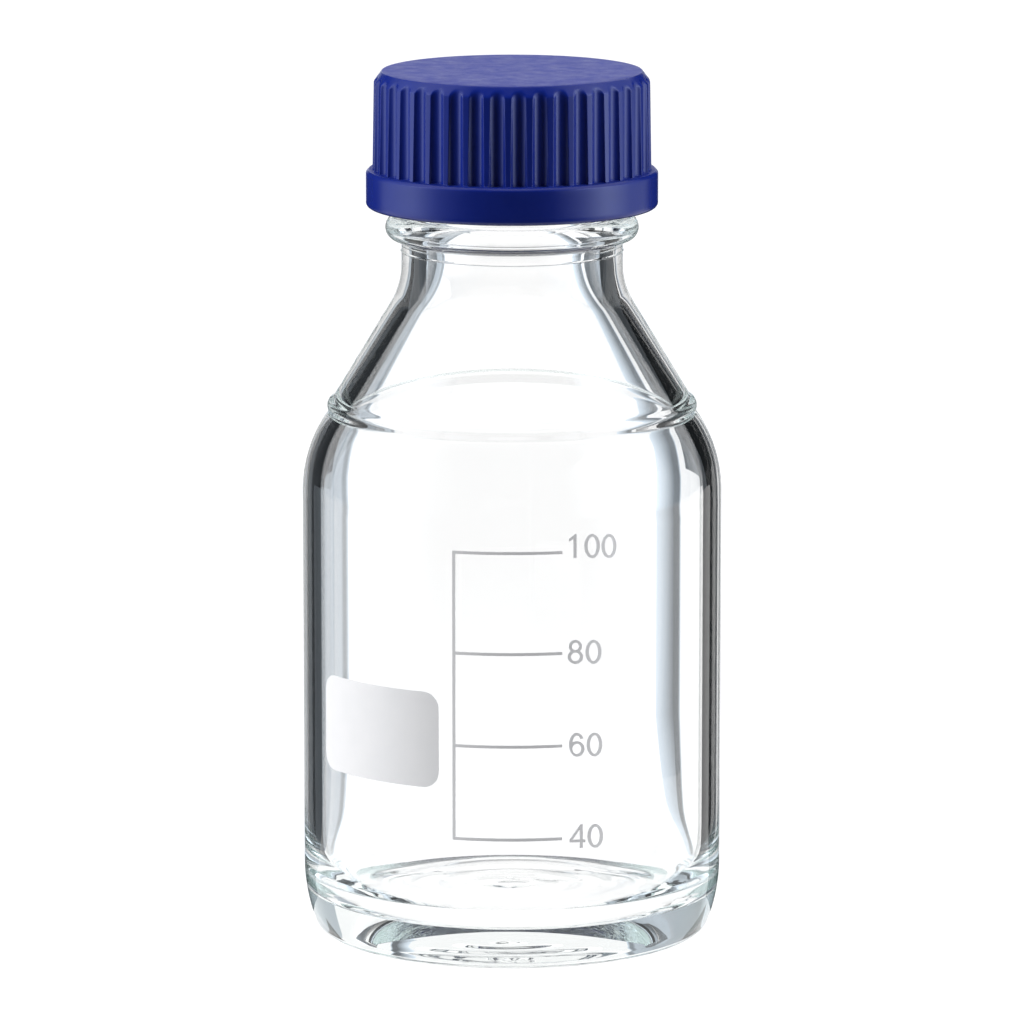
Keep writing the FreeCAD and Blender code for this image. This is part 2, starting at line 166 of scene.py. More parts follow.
# Flutes fade out on the flange's ledge, between these distances from the ribs
FLUTE_FADE_START = 0.05
FLUTE_FADE_END = 0.4
# Where the mesh has columns beside the middle of a rib
RIB_COLUMNS = [0.1, 0.22, 0.3, 0.35, 0.4, 0.47, 0.6, 0.8, 1.05, 1.3]


def add_object(name, data):
    made = bpy.data.objects.new(name, data)
    bpy.context.scene.collection.objects.link(made)
    return made


# Outlines

# One corner of an outline. The edge that leaves it is straight, or an arc of a radius that turns left
# or right.
Corner = namedtuple("Corner", "r z radius turn", defaults=(0.0, 0))
LEFT = 1
RIGHT = -1
TRACE_STEP = 0.05
SAG = 0.003


def arc(start, end, radius, turn):
    """Points of an arc shorter than a half circle, without its last one."""
    chord = end - start
    length = np.hypot(*chord)
    rise = math.sqrt(max(radius**2 - (length / 2) ** 2, 0.0))
    side = np.array([-chord[1], chord[0]]) / length * turn
    centre = (start + end) / 2 + side * rise
    sweep = 2 * math.asin(min(length / 2 / radius, 1.0))
    count = max(2, math.ceil(radius * sweep / TRACE_STEP))
    angles = turn * sweep * np.arange(count) / count
    first = start - centre
    turned_x = first[0] * np.cos(angles) - first[1] * np.sin(angles)
    turned_z = first[0] * np.sin(angles) + first[1] * np.cos(angles)
    return centre + np.column_stack([turned_x, turned_z])


def trace(corners, closed):
    """Close points all along an outline."""
    following = corners[1:] + corners[:1]
    runs = []
    for corner, after in list(zip(corners, following))[: None if closed else -1]:
        start = np.array(corner[:2])
        end = np.array(after[:2])
        if corner.radius:
            runs.append(arc(start, end, corner.radius, corner.turn))
        else:
            count = max(2, math.ceil(np.hypot(*(end - start)) / TRACE_STEP))
            runs.append(start + (end - start) * np.linspace(0, 1, count, endpoint=False)[:, None])
    if not closed:
        runs.append(np.array([corners[-1][:2]]))
    return np.vstack(runs)


def softened(points, reach, closed):
    """The outline with its corners rounded. An open one starts and ends square to the axis."""
    half = math.ceil(3 * reach / TRACE_STEP)
    kernel = np.exp(-0.5 * (np.arange(-half, half + 1) * TRACE_STEP / reach) ** 2)
    kernel /= kernel.sum()
    if closed:
        padded = np.vstack([points[-half:], points, points[:half]])
    else:
        mirror = np.array([-1, 1])
        padded = np.vstack([points[half:0:-1] * mirror, points, points[-2 : -half - 2 : -1] * mirror])
    return np.column_stack([np.convolve(padded[:, axis], kernel, "valid") for axis in (0, 1)])


def thinned(points, sag, longest, fine):
    """The points that the outline's bends need. fine lists (lowest, highest, longest) for some levels."""
    limits = np.full(len(points), longest)
    for low, high, step in fine:
        within = (points[:, 1] >= low) & (points[:, 1] <= high)
        limits[within] = np.minimum(limits[within], step)
    kept = [0]
    last = len(points) - 1
    while kept[-1] < last:
        start = kept[-1]
        end = start + 1
        while end < last:
            chord = points[end + 1] - points[start]
            length = np.hypot(*chord)
            between = points[start + 1 : end + 1] - points[start]
            off = np.abs(between[:, 0] * chord[1] - between[:, 1] * chord[0]) / max(length, 1e-9)
            if length > min(limits[start], limits[end + 1]) or off.max() > sag:
                break
            end += 1
        kept.append(end)
    return points[kept]


def outline(corners, soft, closed=False, sag=SAG, longest=3.0, fine=()):
    return thinned(softened(trace(corners, closed), soft, closed), sag, longest, fine)


# Meshes turned about the bottle's axis


def even_angles(count):
    return np.arange(count) * 2 * math.pi / count


def turned(name, section, angles, shaped=None, closed=False):
    """A solid turned from a section. shaped(radius, height, angle) gives other radii and heights."""
    inner = section if closed else section[1:-1]
    angle = np.broadcast_to(angles, (len(inner), len(angles)))
    radius = np.repeat(inner[:, :1], len(angles), axis=1)
    height = np.repeat(inner[:, 1:], len(angles), axis=1)
    if shaped:
        radius, height = shaped(radius, height, angle)
    points = np.stack([radius * np.cos(angle), radius * np.sin(angle), height], axis=-1).reshape(-1, 3)
    rows, columns = radius.shape
    index = np.arange(rows * columns).reshape(rows, columns)
    if closed:
        index = np.vstack([index, index[:1]])
    ahead = np.roll(index, -1, axis=1)
    quads = np.stack([index[:-1], ahead[:-1], ahead[1:], index[1:]], axis=-1).reshape(-1, 4)
    faces = quads.tolist()
    if not closed:
        first = len(points)
        points = np.vstack([points, [0, 0, section[0, 1]], [0, 0, section[-1, 1]]])
        faces += [(first, b, a) for a, b in zip(index[0], ahead[0])]
        faces += [(first + 1, a, b) for a, b in zip(index[-1], ahead[-1])]
    mesh = bpy.data.meshes.new(name)
    mesh.from_pydata((points * MM).tolist(), [], faces)
    mesh.shade_smooth()
    return add_object(name, mesh)


def smooth_step(x):
    x = np.clip(x, 0, 1)
    return x * x * (3 - 2 * x)


def smooth_min(a, b, blend):
    share = np.clip(0.5 + 0.5 * (b - a) / blend, 0, 1)
    return b * (1 - share) + a * share - blend * share * (1 - share)


def thread(height, angle, form):
    """How far a right-hand thread rises above its root at a place."""
    share = np.zeros_like(height)
    for lap in range(math.ceil(form.turns) + 1):
        run = np.mod(angle, 2 * math.pi) / (2 * math.pi) + lap
        ends = smooth_step(run / THREAD_RUN_OUT) * smooth_step((form.turns - run) / THREAD_RUN_OUT)
        off = np.abs(height - form.start - THREAD_PITCH * run)
        flank = smooth_step((form.root / 2 - off) / (form.root / 2 - form.crest / 2))
        share = np.maximum(share, ends * flank)
    return form.depth * share


def rippled(radius, angle, form):
    """How far a rippled face stands above its plain form at a place."""
    rings = np.cos(2 * math.pi * radius / form.spacing + form.sway * np.cos(angle + form.sway_start))
    lobes = np.cos(form.lobes * angle + radius / form.twist)
    return form.depth * rings + form.lobe_depth * lobes


# Pieces


def glass_bottle():
    """Blown bottle with its base pushed up, a ringed shoulder, a neck bead and a threaded finish."""
    heel_centre = BODY_RADIUS - HEEL_SWEEP
    heel_reach = HEEL_SWEEP - HEEL_CORNER
    contact_reach = math.sqrt(heel_reach**2 - (HEEL_LEVEL - HEEL_CORNER) ** 2)
    contact_outer = heel_centre + contact_reach
    contact_inner = contact_outer - CONTACT_WIDTH
    push_up_radius = (contact_inner**2 + PUSH_UP**2) / (2 * PUSH_UP)
    heel_join_r = heel_centre + HEEL_SWEEP * contact_reach / heel_reach
    heel_join_z = HEEL_LEVEL - HEEL_SWEEP * (HEEL_LEVEL - HEEL_CORNER) / heel_reach
    shoulder_centre = BODY_RADIUS - SHOULDER_RADIUS
    turn = math.radians(SHOULDER_TURN)
    cone = math.radians(CONE_ANGLE)
    ridge_foot_r = shoulder_centre + SHOULDER_RADIUS * math.cos(turn)
    ridge_foot_z = SHOULDER_LEVEL + SHOULDER_RADIUS * math.sin(turn)
    ridge_top_r = ridge_foot_r - RIDGE_STEP
    ridge_top_z = ridge_foot_z + RIDGE_HEIGHT
    ridge_chord = math.hypot(RIDGE_STEP, RIDGE_HEIGHT)
    ridge_radius = (ridge_chord**2 / 4 + RIDGE_BULGE**2) / (2 * RIDGE_BULGE)
    cone_top_r = NECK_RADIUS + NECK_FILLET * (1 - math.cos(cone))
    cone_top_z = ridge_top_z + (ridge_top_r - cone_top_r) / math.tan(cone)
    neck = cone_top_z + NECK_FILLET * math.sin(cone)
    bead = neck + BEAD_RISE
    bead_radius = NECK_RADIUS + BEAD_OVERHANG
    bead_centre = bead_radius - BEAD_ROUND
    bead_foot = bead - math.sqrt(BEAD_ROUND**2 - (NECK_RADIUS - bead_centre) ** 2)
    bead_head = bead + math.sqrt(BEAD_ROUND**2 - (LAND_RADIUS - bead_centre) ** 2)
    rim = neck + FINISH_HEIGHT
    snap_radius = (SNAP_HALF_HEIGHT**2 + SNAP_BULGE**2) / (2 * SNAP_BULGE)
    inner_radius = BODY_RADIUS - WALL
    floor_radius = inner_radius - FLOOR_CORNER
    crown_radius = (floor_radius**2 + FLOOR_CROWN**2) / (2 * FLOOR_CROWN)
    inner_shoulder = SHOULDER_RADIUS - WALL
    inner_cone_r = shoulder_centre + inner_shoulder * math.cos(cone)
    inner_cone_z = SHOULDER_LEVEL + inner_shoulder * math.sin(cone)
    throat_r = BORE_RADIUS + THROAT_FILLET * (1 - math.cos(cone))
    throat_z = inner_cone_z + (inner_cone_r - throat_r) / math.tan(cone)
    bore = throat_z + THROAT_FILLET * math.sin(cone)
    corners = [
        Corner(0, PUSH_UP, push_up_radius, RIGHT),
        Corner(contact_inner, 0),
        Corner(contact_outer, 0, HEEL_CORNER, LEFT),
        Corner(heel_join_r, heel_join_z, HEEL_SWEEP, LEFT),
        Corner(BODY_RADIUS, HEEL_LEVEL),
        Corner(BODY_RADIUS, SHOULDER_LEVEL, SHOULDER_RADIUS, LEFT),
        Corner(ridge_foot_r, ridge_foot_z, ridge_radius, LEFT),
        Corner(ridge_top_r, ridge_top_z),
        Corner(cone_top_r, cone_top_z, NECK_FILLET, RIGHT),
        Corner(NECK_RADIUS, neck),
        Corner(NECK_RADIUS, bead_foot, BEAD_ROUND, LEFT),
        Corner(bead_radius, bead, BEAD_ROUND, LEFT),
        Corner(LAND_RADIUS, bead_head),
        Corner(LAND_RADIUS, LIP_LEVEL - LIP_EDGE),
        Corner(LAND_RADIUS - LIP_EDGE, LIP_LEVEL),
        Corner(LIP_RADIUS, LIP_LEVEL),
        Corner(LIP_RADIUS, SNAP_LEVEL - SNAP_HALF_HEIGHT, snap_radius, LEFT),
        Corner(LIP_RADIUS, SNAP_LEVEL + SNAP_HALF_HEIGHT),
        Corner(LIP_RADIUS, rim - RIM_ROUND, RIM_ROUND, LEFT),
        Corner(LIP_RADIUS - RIM_ROUND, rim),
        Corner(BORE_RADIUS + RIM_ROUND, rim, RIM_ROUND, LEFT),
        Corner(BORE_RADIUS, rim - RIM_ROUND),
        Corner(BORE_RADIUS, bore, THROAT_FILLET, LEFT),
        Corner(throat_r, throat_z),
        Corner(inner_cone_r, inner_cone_z, inner_shoulder, RIGHT),
        Corner(inner_radius, SHOULDER_LEVEL),
        Corner(inner_radius, FLOOR_LEVEL + FLOOR_CORNER, FLOOR_CORNER, RIGHT),
        Corner(floor_radius, FLOOR_LEVEL, crown_radius, LEFT),
        Corner(0, FLOOR_LEVEL + FLOOR_CROWN),
    ]
    under_top = PUSH_UP + FACE_SLACK
    floor_foot = FLOOR_LEVEL - FACE_SLACK
    floor_top = FLOOR_LEVEL + FLOOR_CROWN + FACE_SLACK

    def shaped(radius, height, angle):
        outside = radius > LAND_RADIUS - LAND_SLACK
        on_land = outside & (height > bead_head) & (height < LIP_LEVEL - LIP_EDGE)
        seam = outside * SEAM_RISE * np.exp(-(((height - SEAM_LEVEL) / SEAM_WIDTH) ** 2))
        underneath = height < under_top
        on_floor = (height > floor_foot) & (height < floor_top)
        under_fade = underneath * smooth_step((contact_inner - UNDERSIDE_MARGIN - radius) / RIPPLE_FADE)
        floor_fade = on_floor * smooth_step((floor_radius + FLOOR_OVERLAP - radius) / RIPPLE_FADE)
        lift = under_fade * rippled(radius, angle, UNDERSIDE_RIPPLES)
        lift += floor_fade * rippled(radius, angle, FLOOR_RIPPLES)
        return radius + on_land * thread(height, angle, NECK_THREAD) + seam, height + lift

    fine_outside = [
        (bead_head, LIP_LEVEL, THREAD_STEP),
        (SEAM_LEVEL - SEAM_REACH, SEAM_LEVEL + SEAM_REACH, SEAM_STEP),
        (LAND_SLACK, under_top, RIPPLE_STEP),
    ]
    fine_inside = [(floor_foot, floor_top, RIPPLE_STEP)]
    close = softened(trace(corners, closed=False), GLASS_SOFT, closed=False)
    top = np.argmax(close[:, 1])
    inside = np.arange(len(close)) > top
    eased = (inside * smooth_step((INNER_EASE_TOP - close[:, 1]) / INNER_EASE_RUN))[:, None]
    close = close * (1 - eased) + softened(close, INNER_EASE, closed=False) * eased
    outer_section = thinned(close[: top + 1], SAG, GLASS_STEP, fine_outside)
    inner_section = thinned(close[top:], SAG, GLASS_STEP, fine_inside)
    section = np.vstack([outer_section, inner_section[1:]])
    return turned("glass_bottle", section, even_angles(240), shaped)


def pouring_ring():
    groove_radius = (SNAP_HALF_HEIGHT**2 + SNAP_BULGE**2) / (2 * SNAP_BULGE) + RING_PLAY
    groove_half = math.sqrt(groove_radius**2 - (groove_radius - SNAP_BULGE) ** 2)
    ledge = SEAT_LEVEL - RING_LEDGE
    corners = [
        Corner(RING_BORE, RING_FOOT),
        Corner(RING_OUTER, RING_FOOT),
        Corner(RING_OUTER, SEAT_LEVEL - DRIP_DROP),
        Corner(DRIP_RADIUS, SEAT_LEVEL - DRIP_EDGE),
        Corner(DRIP_RADIUS, SEAT_LEVEL),
        Corner(RING_MOUTH + RING_MOUTH_BEVEL, SEAT_LEVEL),
        Corner(RING_MOUTH, SEAT_LEVEL - RING_MOUTH_BEVEL),
        Corner(RING_MOUTH, ledge),
        Corner(RING_BORE, ledge),
        Corner(RING_BORE, SNAP_LEVEL + groove_half, groove_radius, RIGHT),
        Corner(RING_BORE, SNAP_LEVEL - groove_half),
    ]
    return turned("pouring_ring", outline(corners, soft=0.05, closed=True), even_angles(192), closed=True)


def seal_disc():
    corners = [
        Corner(0, SEAT_LEVEL),
        Corner(SEAL_RADIUS - SEAL_CHAMFER, SEAT_LEVEL),
        Corner(SEAL_RADIUS, SEAT_LEVEL + SEAL_CHAMFER),
        Corner(SEAL_RADIUS, CAP_CEILING - SEAL_CHAMFER),
        Corner(SEAL_RADIUS - SEAL_CHAMFER, CAP_CEILING),
        Corner(0, CAP_CEILING),
    ]
    return turned("seal_disc", outline(corners, soft=0.06), even_angles(128))


def screw_cap():
    """Moulded cap: plain flange, ribs between hollow flutes, bevelled crown, seal retainer and thread."""
    bevel_foot = CAP_TOP - CAP_BEVEL_HEIGHT
    crown = RIB_RADIUS - CAP_DRAFT
    corners = [
        Corner(0, CAP_CEILING),
        Corner(CAP_BORE, CAP_CEILING),
        Corner(CAP_BORE, RETAINER_TOP),
        Corner(CAP_BORE - RETAINER_REACH, RETAINER_TOP - RETAINER_RETURN),
        Corner(CAP_BORE, RETAINER_TOP - RETAINER_RETURN - RETAINER_LEAD),
        Corner(CAP_BORE, CAP_BOTTOM + LEAD_IN),
        Corner(CAP_BORE + LEAD_IN, CAP_BOTTOM),
        Corner(FLANGE_RADIUS - FLANGE_ROUND, CAP_BOTTOM, FLANGE_ROUND, LEFT),
        Corner(FLANGE_RADIUS, CAP_BOTTOM + FLANGE_ROUND),
        Corner(FLANGE_RADIUS, FLANGE_TOP - FLANGE_CHAMFER),
        Corner(FLANGE_RADIUS - FLANGE_CHAMFER, FLANGE_TOP),
        Corner(RIB_RADIUS, FLANGE_TOP),
        Corner(crown, bevel_foot),
        Corner(crown - CAP_BEVEL_WIDTH, CAP_TOP),
        Corner(0, CAP_TOP),
    ]
    pitch = 2 * math.pi / FLUTE_COUNT
    first_rib = math.radians(FLUTE_START - 90) + pitch / 2
    half_pitch = RIB_RADIUS * pitch / 2
    flute_half = half_pitch - RIB_CREST / 2
    hollow = (flute_half**2 + FLUTE_DEPTH**2) / (2 * FLUTE_DEPTH)
    thread_low = CAP_BOTTOM + 0.8
    thread_high = RETAINER_TOP - 1.2

    def shaped(radius, height, angle):
        across = RIB_RADIUS * np.abs(np.mod(angle - first_rib, pitch) - pitch / 2)
        valley = RIB_RADIUS + hollow - FLUTE_DEPTH - np.sqrt(hollow**2 - np.minimum(across, hollow) ** 2)
        room = RIB_RADIUS + FLUTE_FADE_END - radius
        fade = np.clip(room / (FLUTE_FADE_END - FLUTE_FADE_START), 0, 1)
        cut = fade * (radius - smooth_min(radius, valley, RIB_BLEND))
        on_bore = np.abs(radius - CAP_BORE) < FACE_SLACK
        in_bore = on_bore & (height > thread_low) & (height < thread_high)
        return radius - cut - in_bore * thread(height, angle, CAP_THREAD), height

    steps = np.array(RIB_COLUMNS) / half_pitch
    within = np.concatenate([-steps[::-1], steps]) / 2
    angles = (first_rib + pitch * (np.arange(FLUTE_COUNT)[:, None] + within[None, :])).ravel()
    fine = [
        (CAP_BOTTOM + 1, thread_high, 0.65),
        (bevel_foot - 0.3, CAP_TOP - 0.03, 0.35),
        (FLANGE_TOP - 0.1, FLANGE_TOP + 0.3, 0.12),
    ]
    section = outline(corners, soft=0.1, longest=2.0, sag=0.005, fine=fine)
    return turned("screw_cap", section, angles, shaped)


# Prints on the wall


def wrapped(name, flat, radius, start_angle, level, step=0.8, sink=0.0):
    """Lays a flat mesh on the wall: its x runs round the bottle, its y up and its z outwards.

    sink lowers it away from its start, as a share of how far the wall curves back.
    """
    shape = bmesh.new()
    shape.from_mesh(flat)
    xs = [vertex.co.x for vertex in shape.verts]
    for x in np.arange(min(xs) + step, max(xs), step):
        geometry = shape.verts[:] + shape.edges[:] + shape.faces[:]
        bmesh.ops.bisect_plane(shape, geom=geometry, plane_co=(x, 0, 0), plane_no=(1, 0, 0))
    start = math.radians(start_angle - 90)
    for vertex in shape.verts:
        angle = start + vertex.co.x / radius
        reach = radius + vertex.co.z
        drop = sink * radius * (math.sin(angle) - math.sin(start))
        place = (reach * math.cos(angle), reach * math.sin(angle), level + vertex.co.y - drop)
        vertex.co = Vector(place) * MM
    mesh = bpy.data.meshes.new(name)
    shape.to_mesh(mesh)
    shape.free()
    return add_object(name, mesh)


PRINT_HEIGHT = 0.1
PRINT_SINK = 0.02


def flat_print(curve, name):
    """Mesh of a flat curve, as thick as a print and sunk a little into the glass."""
    curve.extrude = (PRINT_HEIGHT + PRINT_SINK) / 2
    holder = add_object(name, curve)
    mesh = bpy.data.meshes.new_from_object(holder.evaluated_get(bpy.context.evaluated_depsgraph_get()))
    bpy.data.objects.remove(holder)
    mesh.transform(Matrix.Translation((0, 0, (PRINT_HEIGHT - PRINT_SINK) / 2)))
    return mesh


def polygon(name, loops):
    """Flat print inside an outer loop of points and outside the loops within it."""
    curve = bpy.data.curves.new(name, "CURVE")
    curve.dimensions = "2D"
    curve.fill_mode = "BOTH"
    for loop in loops:
        spline = curve.splines.new("POLY")
        spline.points.add(len(loop) - 1)
        for place, (x, y) in zip(spline.points, loop):
            place.co = (x, y, 0, 1)
        spline.use_cyclic_u = True
    return flat_print(curve, name)


def arc_length(degrees):
    return BODY_RADIUS * math.radians(degrees)


LABEL_START = -61.3
LABEL_SPAN = 41.3
LABEL_BOTTOM = 24.7
LABEL_HEIGHT = 12.8
LABEL_CORNER = 2.2
SCALE_START = -16.1
SCALE_SPAN = 29.6
SCALE_LINE = 0.4
MARKS = {"100": 56.35, "80": 42.95, "60": 30.6, "40": 18.15}


def label_panel():
    width = arc_length(LABEL_SPAN)
    points = []
    for quarter, (x, y) in enumerate([(1, 1), (0, 1), (0, 0), (1, 0)]):
        centre_x = LABEL_CORNER + x * (width - 2 * LABEL_CORNER)
        centre_y = LABEL_CORNER + y * (LABEL_HEIGHT - 2 * LABEL_CORNER)
        for step in range(13):
            angle = math.radians(90 * quarter + 7.5 * step)
            x_off = LABEL_CORNER * math.cos(angle)
            y_off = LABEL_CORNER * math.sin(angle)
            points.append((centre_x + x_off, centre_y + y_off))
    flat = polygon("label_panel", [points])
    return wrapped("label_panel", flat, BODY_RADIUS, LABEL_START, LABEL_BOTTOM)


def graduation_scale():
    """An upright line with four level lines to its right, as one comb."""
    reach = arc_length(SCALE_SPAN)
    half = SCALE_LINE / 2
    levels = sorted(MARKS.values())
    points = [(0, levels[-1] + half), (0, levels[0] - half)]
    for level in levels:
        if level != levels[0]:
            points.append((SCALE_LINE, level - half))
        points += [(reach, level - half), (reach, level + half)]
        if level != levels[-1]:
            points.append((SCALE_LINE, level + half))
    flat = polygon("graduation_scale", [points])
    return wrapped("graduation_scale", flat, BODY_RADIUS, SCALE_START, 0)


FIGURE_HEIGHT = 3.2
# Where each figure starts and ends round the bottle, and the level of its middle
FIGURES = {
    "100": (15.3, 29.0, 57.16),
    "80": (15.0, 24.6, 43.1),
    "60": (15.4, 24.9, 30.7),
    "40": (15.6, 25.2, 18.42),
}
FIGURE_SINK = 0.187
DIGIT_ADVANCE = 0.77
DIGIT_MIDDLE = 0.345


def oval(middle, half_width, half_height, start=0, end=360):
    """Points round an oval, from one angle to another, in shares of a digit's height."""
    count = max(2, abs(end - start) // 9)
    angles = np.radians(np.linspace(start, end, count, endpoint=end - start != 360))
    return [(DIGIT_MIDDLE + half_width * math.cos(a), middle + half_height * math.sin(a)) for a in angles]


def joined_ovals(ovals, waist):
    """Outline of ovals that overlap at the waist, as (middle, half width, half height) each."""
    loop = []
    for degrees in range(0, 360, 6):
        x = math.cos(math.radians(degrees))
        y = math.sin(math.radians(degrees))
        reaches = []
        for middle, half_width, half_height in ovals:
            a = (x / half_width) ** 2 + (y / half_height) ** 2
            b = y * (waist - middle) / half_height**2
            c = ((waist - middle) / half_height) ** 2 - 1
            reaches.append((-b + math.sqrt(b * b - a * c)) / a)
        loop.append((DIGIT_MIDDLE + max(reaches) * x, waist + max(reaches) * y))
    return loop


def digit_loops(digit):
    """Outlines of a plain upright digit, one unit high."""
    if digit == "0":
        return [oval(0.5, 0.345, 0.5), oval(0.5, 0.2, 0.385)]
    if digit == "1":
        flag = [(0.25, 0.9), (0.1, 0.81), (0.1, 0.69), (0.21, 0.74), (0.3, 0.8)]
        return [[(0.3, 0), (0.43, 0), (0.43, 1), (0.345, 1)] + flag]
    if digit == "4":
        stem = [(0.44, 0), (0.565, 0), (0.565, 0.24)]
        bar_end = [(0.68, 0.24), (0.68, 0.355), (0.565, 0.355)]
        slope = [(0.565, 1), (0.46, 1), (0, 0.355), (0, 0.24), (0.44, 0.24)]
        return [stem + bar_end + slope, [(0.13, 0.355), (0.44, 0.355), (0.44, 0.8)]]
    if digit == "6":
        back = oval(0.5, 0.335, 0.5, 32, 270)
        bowl = oval(0.325, 0.33, 0.325, 279, 484)
        inside = oval(0.5, 0.195, 0.385, 164, 36)
        return [back + bowl + inside, oval(0.325, 0.19, 0.21)]
    upper = (0.73, 0.275, 0.27)
    lower = (0.295, 0.32, 0.295)
    return [joined_ovals([upper, lower], 0.53), oval(0.73, 0.15, 0.155), oval(0.295, 0.185, 0.18)]


def scale_figure(text):
    """A figure of the scale, fitted to its height and to its reach round the bottle."""
    start, end, middle = FIGURES[text]
    loops = []
    for place, digit in enumerate(text):
        for loop in digit_loops(digit):
            loops.append([(x + place * DIGIT_ADVANCE, y) for x, y in loop])
    mesh = polygon(f"figure_{text}", loops)
    points = np.array([vertex.co for vertex in mesh.vertices])
    low = points.min(axis=0)
    size = points.max(axis=0) - low
    fit = Matrix.Diagonal((arc_length(end - start) / size[0], FIGURE_HEIGHT / size[1], 1, 1))
    mesh.transform(fit @ Matrix.Translation((-low[0], -low[1], 0)))
    bottom = middle - FIGURE_HEIGHT / 2
    return wrapped(f"figure_{text}", mesh, BODY_RADIUS, start, bottom, step=0.5, sink=FIGURE_SINK)


# Materials


def material(name):
    made = bpy.data.materials.new(name)
    made.use_nodes = True
    return made, made.node_tree, made.node_tree.nodes["Principled BSDF"]


def bare_material(name):
    made = bpy.data.materials.new(name)
    made.use_nodes = True
    made.node_tree.nodes.clear()
    return made, made.node_tree


def add_node(tree, kind, **values):
    node = tree.nodes.new(kind)
    for key, value in values.items():
        if key in node.inputs:
            node.inputs[key].default_value = value
        else:
            setattr(node, key, value)
    return node


def clear_glass():
    made, tree, shader = material("clear_glass")
    shader.inputs["Base Color"].default_value = (1, 1, 1, 1)
    shader.inputs["Roughness"].default_value = 0.0
    shader.inputs["IOR"].default_value = 1.473
    shader.inputs["Transmission Weight"].default_value = 1.0
    body = add_node(tree, "ShaderNodeVolumeAbsorption", Color=(0.6, 0.84, 0.8, 1), Density=2.0)
    tree.links.new(body.outputs["Volume"], tree.nodes["Material Output"].inputs["Volume"])
    # Lamp light passes the glass and loses a little at each face, so its shadow is light.
    path = add_node(tree, "ShaderNodeLightPath")
    through = add_node(tree, "ShaderNodeBsdfTransparent", Color=(0.94, 0.95, 0.95, 1))
    choice = add_node(tree, "ShaderNodeMixShader")
    tree.links.new(path.outputs["Is Shadow Ray"], choice.inputs[0])
    tree.links.new(shader.outputs[0], choice.inputs[1])
    tree.links.new(through.outputs[0], choice.inputs[2])
    tree.links.new(choice.outputs[0], tree.nodes["Material Output"].inputs["Surface"])
    return made


def plastic(name, dark, light, roughness, grain):
    """Plastic, rubber or enamel: faint clouds in its colour and a fine grain."""
    made, tree, shader = material(name)
    place = add_node(tree, "ShaderNodeTexCoord")
    clouds = add_node(tree, "ShaderNodeTexNoise", Scale=300.0, Detail=4.0)
    tint = add_node(tree, "ShaderNodeValToRGB")
    tint.color_ramp.elements[0].color = (*dark, 1)
    tint.color_ramp.elements[1].color = (*light, 1)
    fine = add_node(tree, "ShaderNodeTexNoise", Scale=6000.0, Detail=2.0)
    bump = add_node(tree, "ShaderNodeBump", Strength=grain, Distance=0.00002)
    tree.links.new(place.outputs["Object"], clouds.inputs["Vector"])
    tree.links.new(place.outputs["Object"], fine.inputs["Vector"])
    tree.links.new(clouds.outputs["Fac"], tint.inputs["Fac"])
    tree.links.new(tint.outputs["Color"], shader.inputs["Base Color"])
    tree.links.new(fine.outputs["Fac"], bump.inputs["Height"])
    tree.links.new(bump.outputs["Normal"], shader.inputs["Normal"])
    shader.inputs["Roughness"].default_value = roughness
    return made


# Where the cap's face turns up by this share, it is its crown.
CROWN_TILT = 0.85
CAP_ROUGHNESS = 0.25
CAP_GRAIN = 0.2
CROWN_GRAIN = 1.0


def cap_plastic():
    """Deep blue moulded plastic, smooth on its sides and finely mottled on its crown."""
    made = plastic("cap_plastic", (0.004, 0.014, 0.18), (0.006, 0.019, 0.22), CAP_ROUGHNESS, CAP_GRAIN)
    tree = made.node_tree
    shader = tree.nodes["Principled BSDF"]
    place = add_node(tree, "ShaderNodeTexCoord")
    axes = add_node(tree, "ShaderNodeSeparateXYZ")
    crown = add_node(tree, "ShaderNodeMapRange")
    crown.inputs["From Min"].default_value = CROWN_TILT
    crown.inputs["To Min"].default_value = CAP_ROUGHNESS
    cast = add_node(tree, "ShaderNodeTexNoise", Scale=450.0, Detail=6.0, Roughness=0.7)
    sheen = add_node(tree, "ShaderNodeMapRange")
    sheen.inputs["From Min"].default_value = 0.3
    sheen.inputs["From Max"].default_value = 0.7
    sheen.inputs["To Min"].default_value = 0.4
    sheen.inputs["To Max"].default_value = 0.62
    tree.links.new(place.outputs["Object"], cast.inputs["Vector"])
    tree.links.new(cast.outputs["Fac"], sheen.inputs["Value"])
    tree.links.new(sheen.outputs["Result"], crown.inputs["To Max"])
    tree.links.new(place.outputs["Normal"], axes.inputs["Vector"])
    tree.links.new(axes.outputs["Z"], crown.inputs["Value"])
    tree.links.new(crown.outputs["Result"], shader.inputs["Roughness"])
    bump = tree.nodes["Bump"]
    mottle = add_node(tree, "ShaderNodeMapRange")
    mottle.inputs["From Min"].default_value = CROWN_TILT
    mottle.inputs["To Min"].default_value = CAP_GRAIN
    mottle.inputs["To Max"].default_value = CROWN_GRAIN
    tree.links.new(axes.outputs["Z"], mottle.inputs["Value"])
    tree.links.new(mottle.outputs["Result"], bump.inputs["Strength"])
    return made


# Studio

# Lengths in the studio are in metres. A level is how bright a card is at a place.
CARD_LIFT = 0.0001
CARD_COLOUR = (0.8, 0.9, 1.0)
DARK = 0.004
FLAG_Y = 0.133
FLAG_TOP = 0.35
FOOT_X = 0.027
FOOT_STEP = 0.0005
FOOT_Y = 0.006
EDGE_Y = 0.005
EDGE_GAP = 0.0014
EDGE_WIDTH = 0.009
SOFTBOX_X = 0.3
SOFTBOX_BOTTOM = 0.03
SOFTBOX_TOP = 0.4
NECK_FLAG_Y = FLAG_Y - 0.003
NECK_FLAG_LEVEL = 0.02
NECK_FLAG_BOTTOM = 0.045
NECK_FLAG_TOP = 0.19
